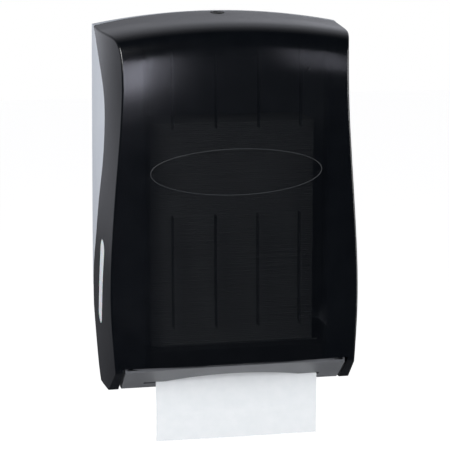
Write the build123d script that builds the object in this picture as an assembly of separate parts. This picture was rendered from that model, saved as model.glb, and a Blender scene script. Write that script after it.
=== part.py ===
"""Wall dispenser for folded paper towels, in millimetres.

X runs to the right, Y back to the wall and Z up. Heights are measured from
the bottom of the cover; each piece is then lowered so that the origin is the
middle of the four wall screws, on the face that lies on the wall.
"""
import os

from build123d import *

os.makedirs("parts", exist_ok=True)

# Overall size
HEIGHT = 479.0
WIDTH = 330.0
DEPTH = 149.0

# Walls and clearances
WALL = 2.5  # moulded walls
SEAM = 0.8  # line between cover and housing
RUNNING = 0.05  # radial play of turning parts
TIGHT = 0.02  # radial play of pressed parts
SCREW_PLAY = 0.1  # radial play of screws in their holes
SEAT = 0.3  # between pieces that lie on each other

# Outside form: width at the wall, narrowing to the front, arch of the top, bulge of the front
WIDEST_AT = 150.0
TUCK = 5.0
NARROW_AT = 110.0
NARROW_TOP = HEIGHT - 59.0
NARROW_LEAST = 5.0
NARROW_MORE = 21.5
NARROW_LOW = 45.0
BEHIND = 20.0  # the form runs past the wall before it is cut
AHEAD = DEPTH + 11.0
ARCH_RADIUS = 887.0
BULGE_RADIUS = 1690.0  # of the front, seen from above
TOP_LEVEL = 60.0  # how far out from the wall the top is nearly level
LOFT_STEPS = 9
LOFT_HEIGHTS = [-20 + (HEIGHT + 40) * step / LOFT_STEPS for step in range(LOFT_STEPS + 1)]
EDGE_ROUND = 2.5

# Sloped chin under the front, and the rounded lower rear corner
CHIN_TOP = (1.0 - DEPTH, 38.0)
CHIN_LOW = (47.5 - DEPTH, 1.0)
CHIN_RIM = 54.8  # how far up the slope the tray reaches
EAR_THICK = 17.5
EAR_GAP = 3.5
EAR_FROM = WIDTH / 2 - EAR_THICK
CHIN_HALF = EAR_FROM - EAR_GAP
HEEL_OUT = 52.0
HEEL_UP = 95.0
HEEL_BULGE = 6.0

# Hinge between the cover's ears and the tray
HINGE_Y = CHIN_TOP[0] + 30.0
HINGE_Z = CHIN_TOP[1] - 9.0
PIN_R = 3.0
PIN_IN_EAR = EAR_THICK - 10.0
PIN_IN_TRAY = 9.0
BOSS_R = PIN_R + 4.0

# Wall screws
MOUNT_LOW = 100.0
MOUNT_SPACING_X = WIDTH - 76.0
MOUNT_SPACING_Z = HEIGHT - 179.0
MOUNT_HEIGHT = MOUNT_LOW + MOUNT_SPACING_Z / 2
MOUNT_HOLE_R = 2.75
MOUNT_BOSS_R = 9.0

# Front ribs and oval of the cover
OVAL_WIDE = 219.0
OVAL_HIGH = 58.0
OVAL_HEIGHT = HEIGHT - 192.5
OVAL_DEEP = 1.0
OVAL_SLOPE = 8.0
RIB_PITCH = 54.6
RIB_THICK = 2.0
RIB_DEEP = 6.0
RIB_LOW = 87.0
RIB_SPANS = ((RIB_LOW, OVAL_HEIGHT - 55.0), (OVAL_HEIGHT + 55.5, HEIGHT - 34.0))

# Side windows, as a slot between two centres
WINDOW_TOP = (-80.0, 180.5)
WINDOW_LOW = (-57.5, 93.0)
WINDOW_R = 14.0
WINDOW_FLANGE = 3.0
WINDOW_SUNK = 0.5
WINDOW_PLAY = 0.25
WINDOW_THICK = 1.5

# Tray and shelf
PLATE = 3.0  # back plate
TRAY_FRONT = CHIN_TOP[0] + 5.5
TRAY_TOP = CHIN_TOP[1] + 17.5
EXIT_REAR = CHIN_LOW[0] + 11.0
FLOOR_REAR = TRAY_TOP - 8.5
SHELF_THICK = 2.5
SHELF_TOP = TRAY_TOP + SHELF_THICK
LIP_TALL = 12.2
SLIT_TALL = 4.6
CUT_ARCH = 14.0

# Towels, and the slot that they leave through
TOWEL_MARGIN = 57.5  # from the towels to the sides
TOWEL_WIDE = WIDTH - 2 * TOWEL_MARGIN
TOWEL_SHIFT = 6.5
TOWEL_THICK = 0.8
TOWEL_END = -69.5
STACK_DEEP = 84.0
STACK_FRONT = CHIN_TOP[0] + 32.0
STACK_REAR = STACK_FRONT + STACK_DEEP
STACK_TOP = 346.0
STACK_ROUND = 3.0
SLOT_HALF = TOWEL_WIDE / 2 + 9.0
CUT_HALF = SLOT_HALF - 28.5

# Lock on the top
LOCK_Y = -20.0
LOCK_SEAT = HEIGHT - 3.2
LOCK_UNDER = LOCK_SEAT - 3.3
BARREL_R = 7.5
BARREL_LOW = LOCK_SEAT - 21.3
PLUG_R = 5.0
CAM_REACH = 16.0
CAM_HALF = 3.5
CAM_TOP = BARREL_LOW - 2.5
CAM_LOW = CAM_TOP - 2.5
HUB_R = 7.0
SHANK = 3.2
CAM_SCREW_R = 1.5

# Strike in front of the turned cam
STEEL = 1.5  # sheet steel
STRIKE_Y = LOCK_Y - CAM_HALF - 0.7
STRIKE_X = (HUB_R + 2.0, HUB_R + 20.0)
STRIKE_FOOT = 16.0

# Back housing
SEAM_LOW = 104.0
SEAM_REAR = -1.2
LIP_REACH = 8.0  # inner lip in front of the seam
LIP_THICK = 2.2
LEAF_LOW = SEAM_LOW + 14.0
HOUSING_LOW = 20.0
FOOT_LOW = HOUSING_LOW + 20.0
FLANGE_TOP = CAM_LOW - 3.5
FLANGE_DEEP = 50.0
NOTCH_HALF = STRIKE_X[1] + 5.0
FIN_THICK = 2.5
FIN_INNER = 36.0
FIN_OUTER = TOWEL_WIDE / 2 - 25.5
FIN_PLACES = (-FIN_OUTER, -FIN_INNER, FIN_INNER, FIN_OUTER)

# Screws
SCREW_R = 1.9
SCREW_HEAD_R = 3.6
SMALL_R = 1.3
SMALL_HEAD_R = 2.8
HEAD_TALL = 2.0
TRAY_SCREW_INNER = 50.0
TRAY_SCREW_OUTER = CHIN_HALF - 25.5
TRAY_SCREW_X = (-TRAY_SCREW_OUTER, -TRAY_SCREW_INNER, TRAY_SCREW_INNER, TRAY_SCREW_OUTER)
TRAY_SCREW_Z = HOUSING_LOW + 13.0
SHELF_SCREW_X = CHIN_HALF - 7.0
SHELF_SCREW_Y = (TRAY_FRONT + 6.5, -PLATE - 9.0)
STRIKE_SCREW_X = (STRIKE_X[0] + 4.5, STRIKE_X[1] - 4.5)
STRIKE_SCREW_Y = STRIKE_Y - 9.8


def half_width(height):
    """Half the width at the wall, a little less at the top and the bottom."""
    return WIDTH / 2 - TUCK * (abs(height - WIDEST_AT) / HEIGHT) ** 1.2


def narrowing(height):
    """How much narrower each side is at the front than at the wall, most near the top."""
    above = min(1, max(0, (height - NARROW_AT) / (NARROW_TOP - NARROW_AT)))
    below = max(0, NARROW_AT - height) / HEIGHT
    return NARROW_LEAST + NARROW_MORE * above**2 * (3 - 2 * above) + NARROW_LOW * below**1.2


def plan_section(height, inset):
    """Plan of the form: each side leaves the wall straight and turns in at the front."""
    back = half_width(height) - inset
    front = back - narrowing(height)
    third = (AHEAD + BEHIND) / 3
    right = Bezier(
        (back, BEHIND), (back, BEHIND - third), (back, BEHIND - 2 * third), (front, -AHEAD)
    )
    left = Bezier(
        (-front, -AHEAD), (-back, BEHIND - 2 * third), (-back, BEHIND - third), (-back, BEHIND)
    )
    edges = [
        right,
        Line((front, -AHEAD), (-front, -AHEAD)),
        left,
        Line((-back, BEHIND), (back, BEHIND)),
    ]
    return Pos(0, 0, height) * make_face(edges)


def side_face(edges):
    """Face in the side view, from edges drawn as (depth, height)."""
    return Plane.YZ * make_face(edges)


def side_prism(edges, half):
    """Side-view face, thick over the same reach to both sides."""
    return extrude(side_face(edges), amount=half, both=True)


def outline_points(inset):
    """Front and top of the form at the middle, moved inward by an inset."""
    curve = Spline(
        (1.0 - DEPTH, 5),
        (0.3 - DEPTH, 45),
        (1.6 - DEPTH, 90),
        (3.8 - DEPTH, 140),
        (4.9 - DEPTH, 200),
        (4.7 - DEPTH, OVAL_HEIGHT - 25.0),
        (2.6 - DEPTH, OVAL_HEIGHT + 40.0),
        (1.4 - DEPTH, HEIGHT - 94.0),
        (3.0 - DEPTH, HEIGHT - 55.0),
        (6.3 - DEPTH, HEIGHT - 36.0),
        (13.5 - DEPTH, HEIGHT - 20.5),
        (26.0 - DEPTH, HEIGHT - 13.0),
        (46.0 - DEPTH, HEIGHT - 9.0),
        (-TOP_LEVEL, HEIGHT - 5.5),
        (BEHIND, HEIGHT + 1.0),
        tangents=((-0.02, 1), (1, 0.05)),
    )
    count = 40
    points = []
    for step in range(count + 1):
        place = curve @ (step / count)
        along = curve % (step / count)
        points.append((place.X + along.Y * inset, place.Y - along.X * inset))
    return points


def crown(inset):
    """Front and top surface: one side view, set back and lowered towards both sides."""
    points = outline_points(inset)
    first, last = points[0], points[-1]
    below = -60.0
    edges = [
        Line((first[0], below), first),
        Spline(*points),
        Line(last, (last[0] + 25, last[1])),
        Line((last[0] + 25, last[1]), (last[0] + 25, below)),
        Line((last[0] + 25, below), (first[0], below)),
    ]
    face = side_face(edges)
    reach = WIDTH / 2 + 10
    sections = []
    for share in (-1, -0.5, 0, 0.5, 1):
        x = share * reach
        sections.append(Pos(x, x**2 / 2 / BULGE_RADIUS, -(x**2) / 2 / ARCH_RADIUS) * face)
    return loft(sections)


def chin_point(along, inset=0.0):
    """Point on the chin's slope, counted up from its lower edge, moved inward."""
    run = CHIN_TOP[0] - CHIN_LOW[0]
    rise = CHIN_TOP[1] - CHIN_LOW[1]
    length = (run**2 + rise**2) ** 0.5
    run, rise = run / length, rise / length
    return (CHIN_LOW[0] + run * along + rise * inset, CHIN_LOW[1] + rise * along - run * inset)


def underside(inset):
    """Side view of the form below: chin, flat bottom and rounded heel."""
    far_up = chin_point(90.0, inset)
    slope = (CHIN_TOP[1] - CHIN_LOW[1]) / (CHIN_TOP[0] - CHIN_LOW[0])
    near = chin_point(0.0, inset)
    low = (near[0] + (inset - near[1]) / slope, inset)
    heel_start = (-HEEL_OUT, inset)
    heel_end = (-inset, HEEL_UP)
    along = (heel_end[0] - heel_start[0], heel_end[1] - heel_start[1])
    length = (along[0] ** 2 + along[1] ** 2) ** 0.5
    heel_middle = (
        heel_start[0] + along[0] / 2 + HEEL_BULGE * along[1] / length,
        heel_start[1] + along[1] / 2 - HEEL_BULGE * along[0] / length,
    )
    top = HEIGHT + 30
    edges = [
        Line(far_up, low),
        Line(low, heel_start),
        ThreePointArc(heel_start, heel_middle, heel_end),
        Line(heel_end, (BEHIND - 2, HEEL_UP)),
        Line((BEHIND - 2, HEEL_UP), (BEHIND - 2, top)),
        Line((BEHIND - 2, top), (far_up[0], top)),
        Line((far_up[0], top), far_up),
    ]
    return side_prism(edges, WIDTH)


def form(inset):
    """Whole outside form, drawn in by an inset everywhere but at the wall."""
    column = loft([plan_section(height, inset) for height in LOFT_HEIGHTS])
    return column & crown(inset) & underside(inset)


def block(x, y, z):
    """Box from its spans along the three axes."""
    size = (x[1] - x[0], y[1] - y[0], z[1] - z[0])
    middle = ((x[0] + x[1]) / 2, (y[0] + y[1]) / 2, (z[0] + z[1]) / 2)
    return Pos(*middle) * Box(*size)


def rod_x(radius, x, y, z):
    """Round rod along X between two places."""
    return Pos((x[0] + x[1]) / 2, y, z) * Rot(0, 90, 0) * Cylinder(radius, x[1] - x[0])


def rod_y(radius, x, y, z):
    """Round rod along Y between two places."""
    return Pos(x, (y[0] + y[1]) / 2, z) * Rot(90, 0, 0) * Cylinder(radius, y[1] - y[0])


def rod_z(radius, x, y, z):
    """Round rod along Z between two places."""
    return Pos(x, y, (z[0] + z[1]) / 2) * Cylinder(radius, z[1] - z[0])


def save(name, shape):
    """Write one node, with the origin at the wall screws."""
    export_step(Pos(0, 0, -MOUNT_HEIGHT) * shape, f"parts/{name}.step")
    box = shape.bounding_box()
    print(name, len(shape.solids()), round(shape.volume), box.min, box.max)


def behind_seam(shift):
    """Everything behind the cover's S-shaped rear edge, moved back by a shift."""
    span = HEIGHT + 3.0 - SEAM_LOW
    sweep = [
        (SEAM_REAR, 0.0),
        (-11.5, 0.125),
        (-29.5, 0.214),
        (-54.0, 0.36),
        (-77.0, 0.495),
        (-84.0, 0.602),
        (-81.5, 0.716),
        (-55.0, 0.839),
        (-20.5, 0.937),
        (SEAM_REAR, 1.0),
    ]
    curve = Spline(*[(y, SEAM_LOW + share * span) for y, share in sweep], tangents=((0, 1), (0.5, 1)))
    far_back = 60.0
    far_up = HEIGHT + 60.0
    far_down = -40.0
    edges = [
        curve,
        Line(curve @ 1, (SEAM_REAR, far_up)),
        Line((SEAM_REAR, far_up), (far_back, far_up)),
        Line((far_back, far_up), (far_back, far_down)),
        Line((far_back, far_down), (SEAM_REAR, far_down)),
        Line((SEAM_REAR, far_down), curve @ 0),
    ]
    return Pos(0, shift, 0) * side_prism(edges, WIDTH)


def window_prism(radius):
    """Slot-shaped block through both sides at the windows."""
    top, low = WINDOW_TOP, WINDOW_LOW
    length = ((top[0] - low[0]) ** 2 + (top[1] - low[1]) ** 2) ** 0.5
    across = ((low[1] - top[1]) / length * radius, (top[0] - low[0]) / length * radius)
    along = ((top[0] - low[0]) / length * radius, (top[1] - low[1]) / length * radius)
    front_top = (top[0] + across[0], top[1] + across[1])
    rear_top = (top[0] - across[0], top[1] - across[1])
    front_low = (low[0] + across[0], low[1] + across[1])
    rear_low = (low[0] - across[0], low[1] - across[1])
    edges = [
        Line(front_low, front_top),
        ThreePointArc(front_top, (top[0] + along[0], top[1] + along[1]), rear_top),
        Line(rear_top, rear_low),
        ThreePointArc(rear_low, (low[0] - along[0], low[1] - along[1]), front_low),
    ]
    return side_prism(edges, WIDTH)


def both_sides(shape):
    """A shape made for the right, with its mirror image on the left."""
    return shape + mirror(shape, Plane.YZ)


outer = form(0)
inner = form(WALL)
towel_bottom = SHELF_TOP + SEAT
towel_y = (chin_point(LIP_TALL)[0] + chin_point(LIP_TALL + SLIT_TALL, WALL)[0]) / 2

# Front cover: rounded shell in front of the seam, open to the wall and over the chin
long_edges = outer.edges().filter_by(lambda edge: edge.length > 500)
cover = fillet(long_edges, EDGE_ROUND) - inner - behind_seam(0)
cover -= block((-EAR_FROM, EAR_FROM), (-200, 10), (-20, CHIN_TOP[1]))
cover -= crown(WALL + 0.1) & block((-EAR_FROM, EAR_FROM), (-200, 10), (0, CHIN_TOP[1] + 20))
cover -= block((-EAR_FROM, EAR_FROM), (-HEEL_OUT - 10, 10), (0, HEEL_UP + 5))

# The heel is left without a rim inside, so that it clears the housing when it turns
hollow = loft([plan_section(height, WALL) for height in LOFT_HEIGHTS])
cover -= hollow & block((-200, 200), (-HEEL_OUT, 10), (-20, HEEL_UP + 5))

# Four ribs behind the front, below and above the oval
rib_layer = form(WALL / 2) - form(WALL + RIB_DEEP)
for place in (-1.5, -0.5, 0.5, 1.5):
    rib_x = (place * RIB_PITCH - RIB_THICK / 2, place * RIB_PITCH + RIB_THICK / 2)
    for span in RIB_SPANS:
        cover += rib_layer & block(rib_x, (-2 * DEPTH, 54.0 - DEPTH), span)

# Bare oval, sunk a little into the front, with a sloped edge
oval_rings = []
for step in (-OVAL_SLOPE, OVAL_SLOPE):
    ring = Ellipse(OVAL_WIDE / 2 + step, OVAL_HIGH / 2 + step)
    oval_rings.append(Plane.XZ.offset(DEPTH - 5 + step) * Pos(0, OVAL_HEIGHT) * ring)
cover -= (outer - form(OVAL_DEEP)) & loft(oval_rings)

# Blind hinge bosses inside the ears
boss = rod_x(BOSS_R, (EAR_FROM, WIDTH / 2), HINGE_Y, HINGE_Z) & form(WALL / 2)
cover += both_sides(boss)
pin_hole = (EAR_FROM - 1, EAR_FROM + PIN_IN_EAR + 0.5)
cover -= both_sides(rod_x(PIN_R + RUNNING, pin_hole, HINGE_Y, HINGE_Z))

# Seat for the lock near the rear of the top
cover += rod_z(BARREL_R + 5, 0, LOCK_Y, (LOCK_UNDER, HEIGHT)) & form(WALL / 2)
cover -= rod_z(BARREL_R + 2, 0, LOCK_Y, (LOCK_SEAT, HEIGHT + 5))
cover -= rod_z(BARREL_R + TIGHT, 0, LOCK_Y, (LOCK_UNDER - 5, HEIGHT))

cover -= window_prism(WINDOW_R)
save("front_cover", cover)

# Side windows: a plug in the slot with a flange behind the cover's side
plug_layer = form(WINDOW_SUNK) - form(WALL + SEAT + WINDOW_THICK)
flange_layer = form(WALL + SEAT) - form(WALL + SEAT + WINDOW_THICK)
windows = plug_layer & window_prism(WINDOW_R - WINDOW_PLAY)
windows += flange_layer & window_prism(WINDOW_R + WINDOW_FLANGE)
save("right_side_window", windows & block((0, WIDTH), (-200, 0), (0, HEIGHT)))
save("left_side_window", windows & block((-WIDTH, 0), (-200, 0), (0, HEIGHT)))

# Back housing: leaf-shaped sides flush with the cover, lips inside it, and the back plate
room = block((-200, 200), (-200, 0), (HOUSING_LOW, HEIGHT))
leaf = outer & behind_seam(SEAM) & block((-200, 200), (-200, 0), (LEAF_LOW, HEIGHT))
lips = form(WALL + SEAM) & behind_seam(-LIP_REACH) & room
inside = form(WALL + SEAM + LIP_THICK)
housing = leaf + lips - (inside & block((-200, 200), (-200, -PLATE), (0, HEIGHT)))
open_foot = loft([plan_section(height, WALL + SEAM + LIP_THICK) for height in LOFT_HEIGHTS])
housing -= open_foot & block((-200, 200), (-200, -PLATE), (0, HEEL_UP + 10))
housing += block((-CHIN_HALF, CHIN_HALF), (-PLATE, 0), (HOUSING_LOW, HEEL_UP + 30))
plate_foot = loft([plan_section(height, WALL + SEAM) for height in LOFT_HEIGHTS])
housing += plate_foot & block((-200, 200), (-PLATE, 0), (FOOT_LOW, HEEL_UP + 30))
housing += inside & block((-200, 200), (-FLANGE_DEEP, 0), (FLANGE_TOP - PLATE, FLANGE_TOP))
housing -= block((-NOTCH_HALF, NOTCH_HALF), (-100, -PLATE), (FLANGE_TOP, HEIGHT))
for place in FIN_PLACES:
    fin_x = (place - FIN_THICK / 2, place + FIN_THICK / 2)
    housing += block(fin_x, (STACK_REAR + SEAT, -PLATE / 2), (TRAY_TOP + 10, STACK_TOP - 4))
for x in (-MOUNT_SPACING_X / 2, MOUNT_SPACING_X / 2):
    for z in (MOUNT_HEIGHT - MOUNT_SPACING_Z / 2, MOUNT_HEIGHT + MOUNT_SPACING_Z / 2):
        housing += rod_y(MOUNT_BOSS_R, x, (-PLATE - 3, -PLATE / 2), z)
        housing -= rod_y(MOUNT_HOLE_R, x, (-PLATE - 10, 5), z)
for x in TRAY_SCREW_X:
    housing -= rod_y(SCREW_R + SCREW_PLAY, x, (-PLATE - 1, -0.4), TRAY_SCREW_Z)
for x in STRIKE_SCREW_X:
    housing -= rod_z(SMALL_R + SCREW_PLAY, x, STRIKE_SCREW_Y, (FLANGE_TOP - 10, FLANGE_TOP + 1))
save("back_housing", housing)

# Towel tray: hopper with the chin in front, a sloped floor and a rear wall on the back plate
chin_rim = chin_point(CHIN_RIM)
tray_corners = [
    (TRAY_FRONT, TRAY_TOP),
    (TRAY_FRONT, chin_rim[1] + 2.4),
    chin_rim,
    CHIN_LOW,
    (EXIT_REAR, CHIN_LOW[1]),
    (-PLATE, FLOOR_REAR),
    (-PLATE, TRAY_TOP),
]
tray_face = Plane.YZ * make_face(Polyline(*tray_corners, close=True))
behind_front = crown(WALL + SEAM)
tray_solid = extrude(tray_face, amount=CHIN_HALF, both=True) & behind_front
cavity_face = offset(tray_face, amount=-WALL, kind=Kind.INTERSECTION)
tray = tray_solid - extrude(cavity_face, amount=CHIN_HALF - WALL, both=True)
mouth_y = (TRAY_FRONT + WALL, -PLATE - WALL)
tray -= block((-CHIN_HALF + WALL, CHIN_HALF - WALL), mouth_y, (TRAY_TOP - WALL - 1, TRAY_TOP + 1))
tray += block((-CHIN_HALF, CHIN_HALF), (-PLATE - WALL, -PLATE), (HOUSING_LOW + 2, FLOOR_REAR + 2))
tray += both_sides(rod_x(BOSS_R, (CHIN_HALF - PIN_IN_TRAY, CHIN_HALF), HINGE_Y, HINGE_Z))
for y in SHELF_SCREW_Y:
    tray += both_sides(rod_z(5.0, SHELF_SCREW_X, y, (TRAY_TOP - 16.5, TRAY_TOP)) & tray_solid)
    tray -= both_sides(rod_z(SMALL_R + SCREW_PLAY, SHELF_SCREW_X, y, (TRAY_TOP - 10.5, TRAY_TOP + 1)))
pin_seat = (CHIN_HALF - PIN_IN_TRAY - 3, CHIN_HALF + 1)
tray -= both_sides(rod_x(PIN_R + TIGHT, pin_seat, HINGE_Y, HINGE_Z))
for x in TRAY_SCREW_X:
    tray -= rod_y(SCREW_R + SCREW_PLAY, x, (-PLATE - 10, 0), TRAY_SCREW_Z)

# Exit: a slit across the chin, with the middle of the lip below it cut away for the fingers
slope_y = chin_point(1)[0] - CHIN_LOW[0]
slope_z = chin_point(1)[1] - CHIN_LOW[1]
chin_plane = Plane(
    origin=(0, CHIN_LOW[0], CHIN_LOW[1]), x_dir=(1, 0, 0), z_dir=(0, -slope_z, slope_y)
)
slit_top = LIP_TALL + SLIT_TALL
finger_cut = make_face(
    [
        Line((-CUT_HALF, -8), (CUT_HALF, -8)),
        Line((CUT_HALF, -8), (CUT_HALF, slit_top)),
        ThreePointArc((CUT_HALF, slit_top), (0, slit_top + CUT_ARCH), (-CUT_HALF, slit_top)),
        Line((-CUT_HALF, slit_top), (-CUT_HALF, -8)),
    ]
)
slit = Pos(0, LIP_TALL + SLIT_TALL / 2) * Rectangle(2 * SLOT_HALF, SLIT_TALL)
tray -= extrude(chin_plane * finger_cut, amount=5, both=True)
tray -= extrude(chin_plane * slit, amount=5, both=True)
save("towel_tray", tray)

# Shelf on the tray, with a rounded slot under the front of the stack and a guide at each side
shelf = block((-CHIN_HALF + 1, CHIN_HALF - 1), (TRAY_FRONT + 0.5, -PLATE - 3), (TRAY_TOP, SHELF_TOP))
shelf &= behind_front
slot_deep = EXIT_REAR - CHIN_LOW[0] + 4
slot_face = Plane.XY * Pos(0, towel_y) * RectangleRounded(2 * SLOT_HALF + 4, slot_deep, 5)
shelf -= Pos(0, 0, TRAY_TOP - 1) * extrude(slot_face, amount=SHELF_THICK + 2)
guide_x = (TOWEL_WIDE / 2 + 1.5, TOWEL_WIDE / 2 + 1.5 + WALL)
shelf += both_sides(block(guide_x, (EXIT_REAR + 7, STACK_REAR - 6), (SHELF_TOP - 1, SHELF_TOP + 12)))
for y in SHELF_SCREW_Y:
    shelf -= both_sides(rod_z(SMALL_R + SCREW_PLAY, SHELF_SCREW_X, y, (TRAY_TOP - 1, SHELF_TOP + 1)))
save("towel_shelf", shelf)

# Hinge pins, pressed into the tray and free in the cover's ears
hinge_pin = rod_x(PIN_R, (CHIN_HALF - PIN_IN_TRAY, EAR_FROM + PIN_IN_EAR), HINGE_Y, HINGE_Z)
save("right_hinge_pin", hinge_pin)
save("left_hinge_pin", mirror(hinge_pin, Plane.YZ))

# Screws, each kind as one node
tray_screws = []
for x in TRAY_SCREW_X:
    head_y = -PLATE - WALL
    screw = rod_y(SCREW_R, x, (head_y, -0.6), TRAY_SCREW_Z)
    screw += rod_y(SCREW_HEAD_R, x, (head_y - HEAD_TALL, head_y), TRAY_SCREW_Z)
    slot_z = (TRAY_SCREW_Z - 0.4, TRAY_SCREW_Z + 0.4)
    tray_screws.append(screw - block((x - 4, x + 4), (head_y - 3, head_y - 1), slot_z))
save("tray_screws", Part() + tray_screws)


def small_screw(x, y, under_head, length):
    """Pan-head screw that points down, with a cross in its head."""
    top = under_head + HEAD_TALL
    screw = rod_z(SMALL_R, x, y, (under_head - length, under_head))
    screw += rod_z(SMALL_HEAD_R, x, y, (under_head, top))
    screw -= block((x - 1.8, x + 1.8), (y - 0.35, y + 0.35), (top - 1, top + 1))
    return screw - block((x - 0.35, x + 0.35), (y - 1.8, y + 1.8), (top - 1, top + 1))


shelf_screws = []
for x in (-SHELF_SCREW_X, SHELF_SCREW_X):
    for y in SHELF_SCREW_Y:
        shelf_screws.append(small_screw(x, y, SHELF_TOP, 10))
save("shelf_screws", Part() + shelf_screws)

# Steel strike on the housing's top flange; the cam turns behind its tab
strike = block(STRIKE_X, (STRIKE_Y - STRIKE_FOOT, STRIKE_Y), (FLANGE_TOP, FLANGE_TOP + STEEL))
strike += block(STRIKE_X, (STRIKE_Y - STEEL, STRIKE_Y), (FLANGE_TOP, CAM_TOP + 0.3))
for x in STRIKE_SCREW_X:
    strike -= rod_z(SMALL_R + SCREW_PLAY, x, STRIKE_SCREW_Y, (FLANGE_TOP - 1, FLANGE_TOP + 5))
save("strike_bracket", strike)
strike_screws = [small_screw(x, STRIKE_SCREW_Y, FLANGE_TOP + STEEL, 6) for x in STRIKE_SCREW_X]
save("strike_screws", Part() + strike_screws)

# Cam lock: barrel, washer and nut on the cover
barrel = rod_z(BARREL_R, 0, LOCK_Y, (BARREL_LOW, LOCK_SEAT))
barrel += rod_z(BARREL_R + 1.5, 0, LOCK_Y, (LOCK_SEAT, LOCK_SEAT + 1.4))
barrel -= rod_z(PLUG_R + RUNNING, 0, LOCK_Y, (BARREL_LOW - 1, HEIGHT + 5))
save("lock_barrel", barrel)
washer_low = LOCK_UNDER - TIGHT - 0.8
washer = rod_z(BARREL_R + 2.8, 0, LOCK_Y, (washer_low, LOCK_UNDER - TIGHT))
washer -= rod_z(BARREL_R + RUNNING, 0, LOCK_Y, (washer_low - 1, LOCK_UNDER + 1))
save("lock_washer", washer)
nut_low = washer_low - TIGHT - 4
nut = Pos(0, LOCK_Y, nut_low) * extrude(RegularPolygon(BARREL_R + 3.4, 6), amount=4)
nut -= rod_z(BARREL_R + TIGHT, 0, LOCK_Y, (nut_low - 1, nut_low + 5))
save("lock_nut", nut)

# Plug with its key slot, cam and screw; at rest the cam points to the wall and the cover is free
plug = rod_z(PLUG_R, 0, LOCK_Y, (CAM_TOP, LOCK_SEAT + 1.1))
plug += block((-SHANK, SHANK), (LOCK_Y - SHANK, LOCK_Y + SHANK), (CAM_LOW, CAM_TOP))
plug -= block((-0.7, 0.7), (LOCK_Y - 3.2, LOCK_Y + 3.2), (LOCK_SEAT - 4, HEIGHT))
plug -= rod_z(CAM_SCREW_R + TIGHT, 0, LOCK_Y, (CAM_LOW - 1, CAM_LOW + 9))
save("lock_plug", plug)
cam = rod_z(HUB_R, 0, LOCK_Y, (CAM_LOW, CAM_TOP - TIGHT))
cam += block((-CAM_HALF, CAM_HALF), (LOCK_Y, LOCK_Y + CAM_REACH), (CAM_LOW, CAM_TOP - TIGHT))
hole = SHANK + TIGHT
cam -= block((-hole, hole), (LOCK_Y - hole, LOCK_Y + hole), (CAM_LOW - 1, CAM_TOP + 1))
save("lock_cam", cam)
cam_screw = rod_z(CAM_SCREW_R, 0, LOCK_Y, (CAM_LOW, CAM_LOW + 8))
cam_screw += rod_z(5.0, 0, LOCK_Y, (CAM_LOW - 0.9, CAM_LOW))
cam_screw += rod_z(2 * CAM_SCREW_R, 0, LOCK_Y, (CAM_LOW - HEAD_TALL - 0.2, CAM_LOW - 0.5))
save("cam_screw", cam_screw)

# Towels: the stack on the shelf, and the sheet that hangs out of the slot
stack = block(
    (-TOWEL_WIDE / 2, TOWEL_WIDE / 2), (STACK_FRONT, STACK_REAR), (towel_bottom, STACK_TOP)
)
stack = fillet(stack.edges().filter_by(Axis.X), STACK_ROUND)
save("towel_stack", stack)
sheet_x = (TOWEL_SHIFT - TOWEL_WIDE / 2, TOWEL_SHIFT + TOWEL_WIDE / 2)
sheet_y = (towel_y - TOWEL_THICK / 2, towel_y + TOWEL_THICK / 2)
save("leading_towel", block(sheet_x, sheet_y, (TOWEL_END, towel_bottom - 0.4)))
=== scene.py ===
"""Wall dispenser for folded paper towels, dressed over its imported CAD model, in metres."""
import math
import random

import bpy
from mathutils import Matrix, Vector


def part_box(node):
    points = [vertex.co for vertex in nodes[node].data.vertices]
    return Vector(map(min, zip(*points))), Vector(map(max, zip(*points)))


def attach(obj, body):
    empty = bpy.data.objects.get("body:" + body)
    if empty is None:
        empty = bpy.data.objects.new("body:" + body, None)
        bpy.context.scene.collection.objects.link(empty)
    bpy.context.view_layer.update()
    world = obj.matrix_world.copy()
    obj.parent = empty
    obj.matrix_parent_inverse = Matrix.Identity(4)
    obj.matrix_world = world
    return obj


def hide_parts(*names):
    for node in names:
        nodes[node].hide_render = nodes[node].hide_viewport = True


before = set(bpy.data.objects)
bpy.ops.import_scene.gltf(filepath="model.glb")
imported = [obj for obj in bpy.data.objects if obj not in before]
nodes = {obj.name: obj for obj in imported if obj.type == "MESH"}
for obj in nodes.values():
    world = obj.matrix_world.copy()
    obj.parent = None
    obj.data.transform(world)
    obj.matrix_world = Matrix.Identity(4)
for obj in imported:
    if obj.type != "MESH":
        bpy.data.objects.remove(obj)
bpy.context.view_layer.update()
bpy.ops.object.select_all(action="DESELECT")

# Back housing: a light grey tray moulded in ABS and held to the wall by four screws. Its leaf-shaped sides
# show behind the cover. The mould was spark-eroded, so the skin has a fine grain that takes off the shine.


def linear(code):
    """Linear colour of an sRGB hex value."""
    parts = [int(code[place : place + 2], 16) / 255 for place in (1, 3, 5)]
    return [part / 12.92 if part <= 0.04045 else ((part + 0.055) / 1.055) ** 2.4 for part in parts] + [1.0]


def new_material(name):
    """Empty node material of that name."""
    material = bpy.data.materials.new(name)
    material.use_nodes = True
    material.node_tree.nodes.clear()
    return material


def add(owner, kind, settings=None, links=None, stops=None):
    """Add a node to a material or the world, with its settings, its links and its colour stops."""
    tree = owner.node_tree
    made = tree.nodes.new(kind)
    for name, value in (settings or {}).items():
        if isinstance(name, int) or name in made.inputs:
            made.inputs[name].default_value = value
        else:
            setattr(made, name, value)
    for name, source in (links or {}).items():
        tree.links.new(source, made.inputs[name])
    for index, (position, code) in enumerate((stops or {}).items()):
        made.color_ramp.elements[index].position = position
        made.color_ramp.elements[index].color = linear(code)
    return made


def dress(material, *names):
    """Give a material to CAD nodes."""
    for name in names:
        nodes[name].material_slots[0].material = material


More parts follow.
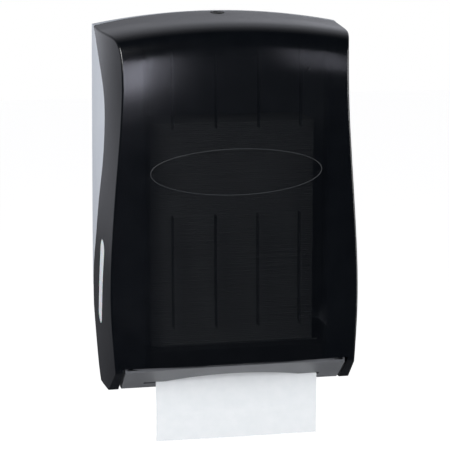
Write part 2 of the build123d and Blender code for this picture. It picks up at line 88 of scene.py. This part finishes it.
# Satin ABS: the tint drifts a little over a hand's width, and the eroded grain makes the shine uneven
drift_size = 0.09
grain_size = 0.0006
grain_depth = 0.0001
grey_abs = new_material("light_grey_moulded_abs")
place = add(grey_abs, "ShaderNodeTexCoord")
drift = add(
    grey_abs,
    "ShaderNodeTexNoise",
    {"Scale": 1 / drift_size, "Detail": 3.0},
    {"Vector": place.outputs["Object"]},
)
tint = add(
    grey_abs,
    "ShaderNodeValToRGB",
    links={"Fac": drift.outputs["Fac"]},
    stops={0.3: "#b9bfc9", 0.7: "#c3c8d0"},
)
grain = add(
    grey_abs,
    "ShaderNodeTexNoise",
    {"Scale": 1 / grain_size, "Detail": 2.0},
    {"Vector": place.outputs["Object"]},
)
relief = add(
    grey_abs,
    "ShaderNodeBump",
    {"Strength": 0.12, "Distance": grain_depth},
    {"Height": grain.outputs["Fac"]},
)
shine = add(
    grey_abs,
    "ShaderNodeMapRange",
    {"To Min": 0.38, "To Max": 0.5},
    {"Value": grain.outputs["Fac"]},
)
skin = add(
    grey_abs,
    "ShaderNodeBsdfPrincipled",
    {"IOR": 1.53},
    {
        "Base Color": tint.outputs["Color"],
        "Roughness": shine.outputs["Result"],
        "Normal": relief.outputs["Normal"],
    },
)
add(grey_abs, "ShaderNodeOutputMaterial", links={"Surface": skin.outputs["BSDF"]})
dress(grey_abs, "back_housing")

# Towel tray and shelf: dark grey ABS mouldings. The tray's front is the sloped chin with the finger cut,
# and the shelf lies on the tray and carries the towels. Four screws hold the tray to the back plate, and
# four more hold the shelf to the tray.

# The same eroded grain as the housing, a little coarser, with faint paler rubbing in random patches
rubbing_size = 0.03
coarse_grain_size = 0.0008
dark_abs = new_material("dark_grey_moulded_abs")
place = add(dark_abs, "ShaderNodeTexCoord")
rubbing = add(
    dark_abs,
    "ShaderNodeTexNoise",
    {"Scale": 1 / rubbing_size, "Detail": 5.0},
    {"Vector": place.outputs["Object"]},
)
tint = add(
    dark_abs,
    "ShaderNodeValToRGB",
    links={"Fac": rubbing.outputs["Fac"]},
    stops={0.35: "#57595d", 0.75: "#626468"},
)
grain = add(
    dark_abs,
    "ShaderNodeTexNoise",
    {"Scale": 1 / coarse_grain_size, "Detail": 2.0},
    {"Vector": place.outputs["Object"]},
)
relief = add(
    dark_abs,
    "ShaderNodeBump",
    {"Strength": 0.15, "Distance": grain_depth},
    {"Height": grain.outputs["Fac"]},
)
shine = add(
    dark_abs,
    "ShaderNodeMapRange",
    {"To Min": 0.36, "To Max": 0.5},
    {"Value": rubbing.outputs["Fac"]},
)
skin = add(
    dark_abs,
    "ShaderNodeBsdfPrincipled",
    {"IOR": 1.53},
    {
        "Base Color": tint.outputs["Color"],
        "Roughness": shine.outputs["Result"],
        "Normal": relief.outputs["Normal"],
    },
)
add(dark_abs, "ShaderNodeOutputMaterial", links={"Surface": skin.outputs["BSDF"]})
dress(dark_abs, "towel_tray", "towel_shelf")

# Hinge pins, strike, screws, nut, washer and cam: turned or stamped steel, plated with bright zinc.
# The pins are pressed into the tray, and the strike is screwed on the housing's top flange.

# Zinc has a cool grey sheen with cloudy patches some millimetres wide
zinc_cloud_size = 0.004
zinc_steel = new_material("zinc_plated_steel")
place = add(zinc_steel, "ShaderNodeTexCoord")
cloud = add(
    zinc_steel,
    "ShaderNodeTexNoise",
    {"Scale": 1 / zinc_cloud_size, "Detail": 4.0},
    {"Vector": place.outputs["Object"]},
)
tint = add(
    zinc_steel,
    "ShaderNodeValToRGB",
    links={"Fac": cloud.outputs["Fac"]},
    stops={0.0: "#9fa3a8", 1.0: "#cdd0d3"},
)
shine = add(
    zinc_steel,
    "ShaderNodeMapRange",
    {"To Min": 0.22, "To Max": 0.42},
    {"Value": cloud.outputs["Fac"]},
)
skin = add(
    zinc_steel,
    "ShaderNodeBsdfPrincipled",
    {"Metallic": 1.0},
    {"Base Color": tint.outputs["Color"], "Roughness": shine.outputs["Result"]},
)
add(zinc_steel, "ShaderNodeOutputMaterial", links={"Surface": skin.outputs["BSDF"]})
dress(zinc_steel, "left_hinge_pin", "right_hinge_pin", "strike_bracket", "strike_screws", "tray_screws")
dress(zinc_steel, "shelf_screws", "lock_washer", "lock_nut", "lock_cam", "cam_screw")

# Towel stack: folded paper towels laid on each other, put in through the open cover a pack at a time.
# Each towel is a flat fold with round front and rear edges, and no two lie quite alike.

# Towel paper: bleached and creped, so it is matt with fine cross ridges. The crepe is about 0.4 mm and is
# drawn at 1.2 mm so that it shows, and the pulp gives a faint cloudiness.
pulp_size = 0.012
crepe_pitch = 0.0012
crepe_depth = 0.0002
band_pitch_at_scale_1 = 0.314
paper = new_material("creped_towel_paper")
place = add(paper, "ShaderNodeTexCoord")
pulp = add(
    paper,
    "ShaderNodeTexNoise",
    {"Scale": 1 / pulp_size, "Detail": 6.0},
    {"Vector": place.outputs["Object"]},
)
tint = add(
    paper,
    "ShaderNodeValToRGB",
    links={"Fac": pulp.outputs["Fac"]},
    stops={0.3: "#e2e6e8", 0.7: "#e7eaec"},
)
crepe = add(
    paper,
    "ShaderNodeTexWave",
    {
        "bands_direction": "Z",
        "Scale": band_pitch_at_scale_1 / crepe_pitch,
        "Distortion": 3.0,
        "Detail": 3.0,
        "Detail Scale": 2.0,
    },
    {"Vector": place.outputs["Object"]},
)
relief = add(
    paper,
    "ShaderNodeBump",
    {"Strength": 0.12, "Distance": crepe_depth},
    {"Height": crepe.outputs["Fac"]},
)
skin = add(
    paper,
    "ShaderNodeBsdfPrincipled",
    {"IOR": 1.45, "Roughness": 0.9, "Specular IOR Level": 0.2},
    {"Base Color": tint.outputs["Color"], "Normal": relief.outputs["Normal"]},
)
add(paper, "ShaderNodeOutputMaterial", links={"Surface": skin.outputs["BSDF"]})

# One towel is a flat block with its long edges rounded, cut across so that it can bend, and piled up
towel_count = 118
folded_wide = 0.2132
folded_deep = 0.0815
filled_share = 0.97
round_share = 0.46
bend_stretches = 6
stack_forward = 0.0002
stack_low, stack_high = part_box("towel_stack")
pitch = (stack_high.z - stack_low.z) / towel_count
folded_size = (folded_wide, folded_deep, pitch * filled_share)
stack_y = (stack_low.y + stack_high.y) / 2 - stack_forward
first_place = Vector((0, stack_y, stack_low.z + pitch / 2))
bpy.ops.mesh.primitive_cube_add(size=1.0)
towels = bpy.context.object
towels.name = "folded_towels"
bpy.ops.object.mode_set(mode="EDIT")
bpy.ops.mesh.select_all(action="SELECT")
bpy.ops.transform.resize(value=folded_size)
bpy.ops.transform.translate(value=first_place)
for cut in range(1, bend_stretches):
    bpy.ops.mesh.select_all(action="SELECT")
    cut_x = folded_wide * (cut / bend_stretches - 0.5)
    bpy.ops.mesh.bisect(plane_co=(cut_x, 0, 0), plane_no=(1, 0, 0))
bpy.ops.object.mode_set(mode="OBJECT")
next_to_none = 1e-4
for edge in towels.data.edges:
    ends = [towels.data.vertices[index].co for index in edge.vertices]
    edge.select = abs(ends[0].x - ends[1].x) > next_to_none
bpy.ops.object.mode_set(mode="EDIT")
bpy.ops.mesh.select_mode(type="EDGE")
bpy.ops.mesh.bevel(offset=pitch * round_share, segments=3, affect="EDGES")
bpy.ops.object.mode_set(mode="OBJECT")
corners_each = len(towels.data.vertices)
pile = towels.modifiers.new("pile", "ARRAY")
pile.count = towel_count
pile.use_relative_offset = False
pile.use_constant_offset = True
pile.constant_offset_displace = (0, 0, pitch)
bpy.ops.object.modifier_apply(modifier="pile")

# Each towel is set down a little askew, and each pack of about 24 stands a little off the one below
towels_per_pack = 24
pack_slip_x = 0.0006
pack_slip_y = 0.0007
towel_slip_x = 0.00025
towel_slip_y = 0.00030
towel_skew = 0.0022
least_crown, most_crown = 0.0002, 0.0005
wave_y_share, wave_y_turn = 0.6, 29
wave_z_share, wave_z_turn = 0.5, 41
deal = random.Random(7)
pack_shift = (0, 0)
for towel in range(towel_count):
    if towel % towels_per_pack == 0:
        pack_shift = (deal.uniform(-pack_slip_x, pack_slip_x), deal.uniform(-pack_slip_y, pack_slip_y))
    shift_x = pack_shift[0] + deal.gauss(0, towel_slip_x)
    shift_y = pack_shift[1] + deal.gauss(0, towel_slip_y)
    skew = deal.gauss(0, towel_skew)
    wave = deal.uniform(0, math.tau)
    crown = deal.uniform(least_crown, most_crown)
    for index in range(towel * corners_each, (towel + 1) * corners_each):
        spot = towels.data.vertices[index].co
        spot.y += shift_y + skew * spot.x + crown * wave_y_share * math.sin(spot.x * wave_y_turn + wave)
        spot.x += shift_x
        spot.z += crown * wave_z_share * math.sin(spot.x * wave_z_turn + wave)
bpy.ops.object.shade_smooth_by_angle(angle=math.radians(50))
towels.data.materials.append(paper)
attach(towels, "base")
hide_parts("towel_stack")
bpy.ops.object.select_all(action="DESELECT")

# Front cover: one see-through moulding in dark smoke SAN, with four ribs behind its front and a bare oval
# sunk in it. It turns on the two hinge pins and takes the side windows and the lock.

# Smoke SAN is dyed almost black and polished. Each skin of the front stops a share of the light, so that
# both together pass about an eighth, and the thicker edges and top pass next to none. Flow in the mould
# leaves a very slight waviness, some centimetres long.
flow_size = 0.025
flow_depth = 0.0004
front_stop_share = 0.65
edge_stop_share = 0.93
side_from, side_to = 0.11, 0.121
top_from, top_to = 0.18, 0.2
smoke_san = new_material("smoke_san")
place = add(smoke_san, "ShaderNodeTexCoord")
flow = add(
    smoke_san,
    "ShaderNodeTexNoise",
    {"Scale": 1 / flow_size, "Detail": 2.0},
    {"Vector": place.outputs["Object"]},
)
tint = add(
    smoke_san,
    "ShaderNodeValToRGB",
    links={"Fac": flow.outputs["Fac"]},
    stops={0.0: "#07090d", 1.0: "#0c0f13"},
)
shine = add(
    smoke_san,
    "ShaderNodeMapRange",
    {"To Min": 0.15, "To Max": 0.22},
    {"Value": flow.outputs["Fac"]},
)
relief = add(
    smoke_san,
    "ShaderNodeBump",
    {"Strength": 0.05, "Distance": flow_depth},
    {"Height": flow.outputs["Fac"]},
)
split = add(smoke_san, "ShaderNodeSeparateXYZ", links={"Vector": place.outputs["Object"]})
aside = add(smoke_san, "ShaderNodeMath", {"operation": "ABSOLUTE"}, {0: split.outputs["X"]})
side = add(
    smoke_san,
    "ShaderNodeMapRange",
    {"From Min": side_from, "From Max": side_to, "To Min": front_stop_share, "To Max": edge_stop_share},
    {"Value": aside.outputs["Value"]},
)
top = add(
    smoke_san,
    "ShaderNodeMapRange",
    {"From Min": top_from, "From Max": top_to, "To Min": front_stop_share, "To Max": edge_stop_share},
    {"Value": split.outputs["Z"]},
)
edge = add(
    smoke_san,
    "ShaderNodeMath",
    {"operation": "MAXIMUM"},
    {0: side.outputs["Result"], 1: top.outputs["Result"]},
)

# The plastic is about three times as thick at a rib. The ribs stand a pitch apart, half of them on each side
# of the middle, and stop short of the oval above and below it.
rib_pitch = 0.0546
rib_half_thick = 0.001
rib_middle_z = 0.0368
rib_from, rib_to = 0.0553, 0.1997
rib_stop_share = 0.88
nearest = add(
    smoke_san,
    "ShaderNodeMath",
    {"operation": "PINGPONG", 1: rib_pitch / 2},
    {0: aside.outputs["Value"]},
)
rib = add(
    smoke_san,
    "ShaderNodeMath",
    {"operation": "GREATER_THAN", 1: rib_pitch / 2 - rib_half_thick},
    {0: nearest.outputs["Value"]},
)
height = add(
    smoke_san,
    "ShaderNodeMath",
    {"operation": "SUBTRACT", 1: rib_middle_z},
    {0: split.outputs["Z"]},
)
away = add(smoke_san, "ShaderNodeMath", {"operation": "ABSOLUTE"}, {0: height.outputs["Value"]})
span = add(
    smoke_san,
    "ShaderNodeMath",
    {"operation": "COMPARE", 1: (rib_from + rib_to) / 2, 2: (rib_to - rib_from) / 2},
    {0: away.outputs["Value"]},
)
ribbed = add(
    smoke_san,
    "ShaderNodeMath",
    {"operation": "MULTIPLY"},
    {0: rib.outputs["Value"], 1: span.outputs["Value"]},
)
dense = add(
    smoke_san,
    "ShaderNodeMath",
    {"operation": "MULTIPLY", 1: rib_stop_share},
    {0: ribbed.outputs["Value"]},
)
depth = add(
    smoke_san,
    "ShaderNodeMath",
    {"operation": "MAXIMUM"},
    {0: edge.outputs["Value"], 1: dense.outputs["Value"]},
)
skin = add(
    smoke_san,
    "ShaderNodeBsdfPrincipled",
    {"IOR": 1.57},
    {
        "Base Color": tint.outputs["Color"],
        "Roughness": shine.outputs["Result"],
        "Normal": relief.outputs["Normal"],
        "Alpha": depth.outputs["Value"],
    },
)
add(smoke_san, "ShaderNodeOutputMaterial", links={"Surface": skin.outputs["BSDF"]})
dress(smoke_san, "front_cover")

# Oval rim: a low bead of the same SAN, moulded on the cover round the bare oval. The mould was left matt
# there, and the bead's colour is a painted highlight, paler than the smoke SAN, so that it shows as a fine
# pale line all round.
matt_san_painted_highlight = new_material("matt_smoke_san_painted_highlight")
place = add(matt_san_painted_highlight, "ShaderNodeTexCoord")
grain = add(
    matt_san_painted_highlight,
    "ShaderNodeTexNoise",
    {"Scale": 1 / coarse_grain_size, "Detail": 2.0},
    {"Vector": place.outputs["Object"]},
)
shine = add(
    matt_san_painted_highlight,
    "ShaderNodeMapRange",
    {"To Min": 0.45, "To Max": 0.6},
    {"Value": grain.outputs["Fac"]},
)
# Painted highlight: the bead's grey is much paler than the smoke SAN and stands in for light caught along
# the oval's edge
skin = add(
    matt_san_painted_highlight,
    "ShaderNodeBsdfPrincipled",
    {"Base Color": linear("#25282c"), "IOR": 1.57},
    {"Roughness": shine.outputs["Result"]},
)
add(matt_san_painted_highlight, "ShaderNodeOutputMaterial", links={"Surface": skin.outputs["BSDF"]})

# A thin ring of radius 1 is drawn out to the oval and laid on the cover's front, as found just outside it
oval_half_wide = 0.1095
oval_half_high = 0.029
oval_z = 0.0365
bead_radius = 0.0007
bead_sunk = 0.0004
bead_outward = 0.0003
feel_outward = 0.0016
feel_from_y = -0.3
bpy.ops.mesh.primitive_torus_add(
    major_segments=180, minor_segments=8, major_radius=1.0, minor_radius=bead_radius
)
bead = bpy.context.object
bead.name = "oval_rim"
graph = bpy.context.evaluated_depsgraph_get()
for vertex in bead.data.vertices:
    turn = math.atan2(vertex.co.y, vertex.co.x)
    outward = math.hypot(vertex.co.x, vertex.co.y) - 1.0
    across = Vector((math.cos(turn) / oval_half_wide, 0, math.sin(turn) / oval_half_high)).normalized()
    rim = Vector((oval_half_wide * math.cos(turn), 0, oval_z + oval_half_high * math.sin(turn)))
    beside = rim + across * feel_outward
    struck = bpy.context.scene.ray_cast(graph, (beside.x, feel_from_y, beside.z), (0, 1, 0))[1]
    spot = rim + across * (outward + bead_outward)
    vertex.co = (spot.x, struck.y + bead_sunk - vertex.co.z, spot.z)
bead.data.update()
bpy.ops.object.shade_smooth()
bead.data.materials.append(matt_san_painted_highlight)
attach(bead, "cover")
bpy.ops.object.select_all(action="DESELECT")

# Side windows: long milky inlays, moulded in polypropylene and clipped behind the cover's sides, that show
# how many towels are left.

# Milky polypropylene lets light in a few millimetres deep, so it looks soft and evenly bright
haze_size = 0.015
light_depth = 0.003
milky = new_material("milky_polypropylene")
place = add(milky, "ShaderNodeTexCoord")
haze = add(
    milky,
    "ShaderNodeTexNoise",
    {"Scale": 1 / haze_size, "Detail": 3.0},
    {"Vector": place.outputs["Object"]},
)
tint = add(
    milky,
    "ShaderNodeValToRGB",
    links={"Fac": haze.outputs["Fac"]},
    stops={0.0: "#d5d9df", 1.0: "#e4e7eb"},
)
skin = add(
    milky,
    "ShaderNodeBsdfPrincipled",
    {"IOR": 1.49, "Roughness": 0.38, "Subsurface Weight": 0.25, "Subsurface Scale": light_depth},
    {"Base Color": tint.outputs["Color"]},
)
add(milky, "ShaderNodeOutputMaterial", links={"Surface": skin.outputs["BSDF"]})
dress(milky, "left_side_window", "right_side_window")

# Lock: a die-cast zinc cam lock in the cover's top. A nut holds its barrel from inside, and a flat key turns
# its plug.

# Black passivated zinc is matt, with a brown-grey tinge and rubbed spots
rubbed_spot_size = 0.003
black_zinc = new_material("black_passivated_zinc")
place = add(black_zinc, "ShaderNodeTexCoord")
rubbing = add(
    black_zinc,
    "ShaderNodeTexNoise",
    {"Scale": 1 / rubbed_spot_size, "Detail": 4.0},
    {"Vector": place.outputs["Object"]},
)
tint = add(
    black_zinc,
    "ShaderNodeValToRGB",
    links={"Fac": rubbing.outputs["Fac"]},
    stops={0.4: "#1b1b1d", 0.85: "#3a3938"},
)
shine = add(
    black_zinc,
    "ShaderNodeMapRange",
    {"To Min": 0.3, "To Max": 0.5},
    {"Value": rubbing.outputs["Fac"]},
)
skin = add(
    black_zinc,
    "ShaderNodeBsdfPrincipled",
    {"Metallic": 0.6},
    {"Base Color": tint.outputs["Color"], "Roughness": shine.outputs["Result"]},
)
add(black_zinc, "ShaderNodeOutputMaterial", links={"Surface": skin.outputs["BSDF"]})
dress(black_zinc, "lock_barrel", "lock_plug")

# Leading towel: the lowest towel of the stack, drawn down through the slot and hanging from it by its own
# folds. It keeps the crease of its fold across the middle and bulges a little at the finger cut.
crease_z = -0.281
crease_out = 0.0021
crease_reach = 0.026
crease_sharpness = 1.3
free_from_z = -0.240
free_reach = 0.075
free_out = 0.0012
wave_out, wave_turn, wave_start = 0.0007, 7.0, 1.2
corner_sag = 0.0008
side_trim = 0.001
ply_thick = 0.0003
hang_low, hang_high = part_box("leading_towel")
towel_wide = hang_high.x - hang_low.x
towel_long = hang_high.z - hang_low.z
towel_x = (hang_low.x + hang_high.x) / 2
towel_y = (hang_low.y + hang_high.y) / 2
bpy.ops.mesh.primitive_grid_add(x_subdivisions=72, y_subdivisions=48, size=1.0)
leaf = bpy.context.object
leaf.name = "hanging_towel"
for vertex in leaf.data.vertices:
    across, down = vertex.co.x, 0.5 - vertex.co.y
    x = towel_x + across * (towel_wide - side_trim)
    z = hang_high.z - down * towel_long
    free = max(0.0, min(1.0, (free_from_z - z) / free_reach))
    y = towel_y - free_out * free
    y -= crease_out * max(0.0, 1 - abs(z - crease_z) / crease_reach) ** crease_sharpness
    y -= wave_out * free * math.sin(across * wave_turn + wave_start)
    vertex.co = (x, y, z - corner_sag * free * (across + 0.5))
leaf.data.update()
plies = leaf.modifiers.new("plies", "SOLIDIFY")
plies.thickness = ply_thick
plies.offset = 0.0
bpy.ops.object.modifier_apply(modifier="plies")
bpy.ops.object.shade_smooth_by_angle(angle=math.radians(40))
leaf.data.materials.append(paper)
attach(leaf, "towel")
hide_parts("leading_towel")
bpy.ops.object.select_all(action="DESELECT")

# Studio: a pale floor far below, as under a piece on a wall, a bright backdrop behind and a dark room in
# front. Through the cover's gaps and screw holes the room is dark, as the wall behind a mounted piece is.
floor_wide = 16
floor_long = 12
floor_middle_y = 4.6
floor_z = -1.15
bpy.ops.mesh.primitive_plane_add(size=1.0)
floor = bpy.context.object
floor.name = "floor"
for vertex in floor.data.vertices:
    vertex.co = (vertex.co.x * floor_wide, vertex.co.y * floor_long + floor_middle_y, floor_z)
pale = new_material("pale_floor_paint")
skin = add(
    pale,
    "ShaderNodeBsdfPrincipled",
    {
        "Base Color": linear("#f3f2ef"),
        "Roughness": 0.8,
        "Emission Color": linear("#ffffff"),
        "Emission Strength": 0.9,
    },
)
rays = add(pale, "ShaderNodeLightPath")
screened = add(
    pale,
    "ShaderNodeMath",
    {"operation": "GREATER_THAN", 1: 0.5},
    {0: rays.outputs["Transparent Depth"]},
)
shade = add(pale, "ShaderNodeBsdfDiffuse", {"Color": linear("#000000")})
seen = add(
    pale,
    "ShaderNodeMixShader",
    links={"Fac": screened.outputs["Value"], 1: skin.outputs["BSDF"], 2: shade.outputs["BSDF"]},
)
add(pale, "ShaderNodeOutputMaterial", links={"Surface": seen.outputs["Shader"]})
floor.data.materials.append(pale)
floor.visible_glossy = False

# The room grows brighter toward the wall's side, and dimmer below and far above the piece
room = bpy.data.worlds.new("studio")
room.use_nodes = True
room.node_tree.nodes.clear()
where = add(room, "ShaderNodeTexCoord")
split = add(room, "ShaderNodeSeparateXYZ", links={"Vector": where.outputs["Generated"]})
ahead = add(
    room,
    "ShaderNodeMapRange",
    {"From Min": 0.05, "From Max": 1.0, "To Min": 0.02, "To Max": 0.85},
    {"Value": split.outputs["Y"]},
)
below = add(
    room,
    "ShaderNodeMapRange",
    {"From Min": -0.2, "From Max": -0.085, "To Min": 0.13, "To Max": 0.9},
    {"Value": split.outputs["Z"]},
)
above = add(
    room,
    "ShaderNodeMapRange",
    {"From Min": 0.0, "From Max": 0.3, "To Min": 1.0, "To Max": 0.5},
    {"Value": split.outputs["Z"]},
)
level = add(
    room,
    "ShaderNodeMath",
    {"operation": "MULTIPLY"},
    {0: ahead.outputs["Result"], 1: below.outputs["Result"]},
)
dimmed = add(
    room,
    "ShaderNodeMath",
    {"operation": "MULTIPLY"},
    {0: level.outputs["Value"], 1: above.outputs["Result"]},
)
around = add(
    room, "ShaderNodeBackground", {"Color": linear("#f3f5ff")}, {"Strength": dimmed.outputs["Value"]}
)
rays = add(room, "ShaderNodeLightPath")
unscreened = add(
    room,
    "ShaderNodeMath",
    {"operation": "LESS_THAN", 1: 0.5},
    {0: rays.outputs["Transparent Depth"]},
)
backdrop = add(
    room, "ShaderNodeBackground", {"Color": linear("#ffffff")}, {"Strength": unscreened.outputs["Value"]}
)
seen = add(
    room,
    "ShaderNodeMixShader",
    links={
        "Fac": rays.outputs["Is Camera Ray"],
        1: around.outputs["Background"],
        2: backdrop.outputs["Background"],
    },
)
add(room, "ShaderNodeOutputWorld", links={"Surface": seen.outputs["Shader"]})
bpy.context.scene.world = room

# Softboxes, by their angles and distance from the middle of the piece, their size and their power
middle = Vector((0, -0.075, -0.01))
for name, azimuth, elevation, distance, wide, tall, power, colour in (
    ("key_softbox", -42, 30, 2.4, 1.4, 1.4, 54, "#ffffff"),
    ("fill_softbox", 66, 5, 2.4, 1.2, 1.6, 26, "#ffffff"),
    ("left_patch_softbox", -4.5, 8, 2.6, 0.36, 0.9, 6.2, "#edeeff"),
    ("right_patch_softbox", 26, 15, 2.6, 0.42, 0.6, 1.5, "#edeeff"),
):
    side, rise = math.radians(azimuth), math.radians(elevation)
    toward = Vector((math.sin(side) * math.cos(rise), -math.cos(side) * math.cos(rise), math.sin(rise)))
    bpy.ops.object.light_add(type="AREA", location=middle + toward * distance)
    softbox = bpy.context.object
    softbox.name = name
    softbox.rotation_euler = toward.to_track_quat("Z", "Y").to_euler()
    softbox.data.shape = "RECTANGLE"
    softbox.data.size = wide
    softbox.data.size_y = tall
    softbox.data.energy = power
    softbox.data.color = linear(colour)[:3]

# Camera in front of the piece, 12 degrees to the left and 11 above, with a long lens
eye = Vector((-0.46508, -2.2574, 0.38597))
aim = Vector((-0.00137, -0.075, -0.04431))
bpy.ops.object.camera_add(location=eye)
camera = bpy.context.object
camera.name = "photo_camera"
camera.rotation_euler = (aim - eye).to_track_quat("-Z", "Y").to_euler()
camera.data.lens = 139.75
camera.data.sensor_width = 36.0
bpy.context.scene.camera = camera
bpy.context.scene.view_settings.view_transform = "Standard"
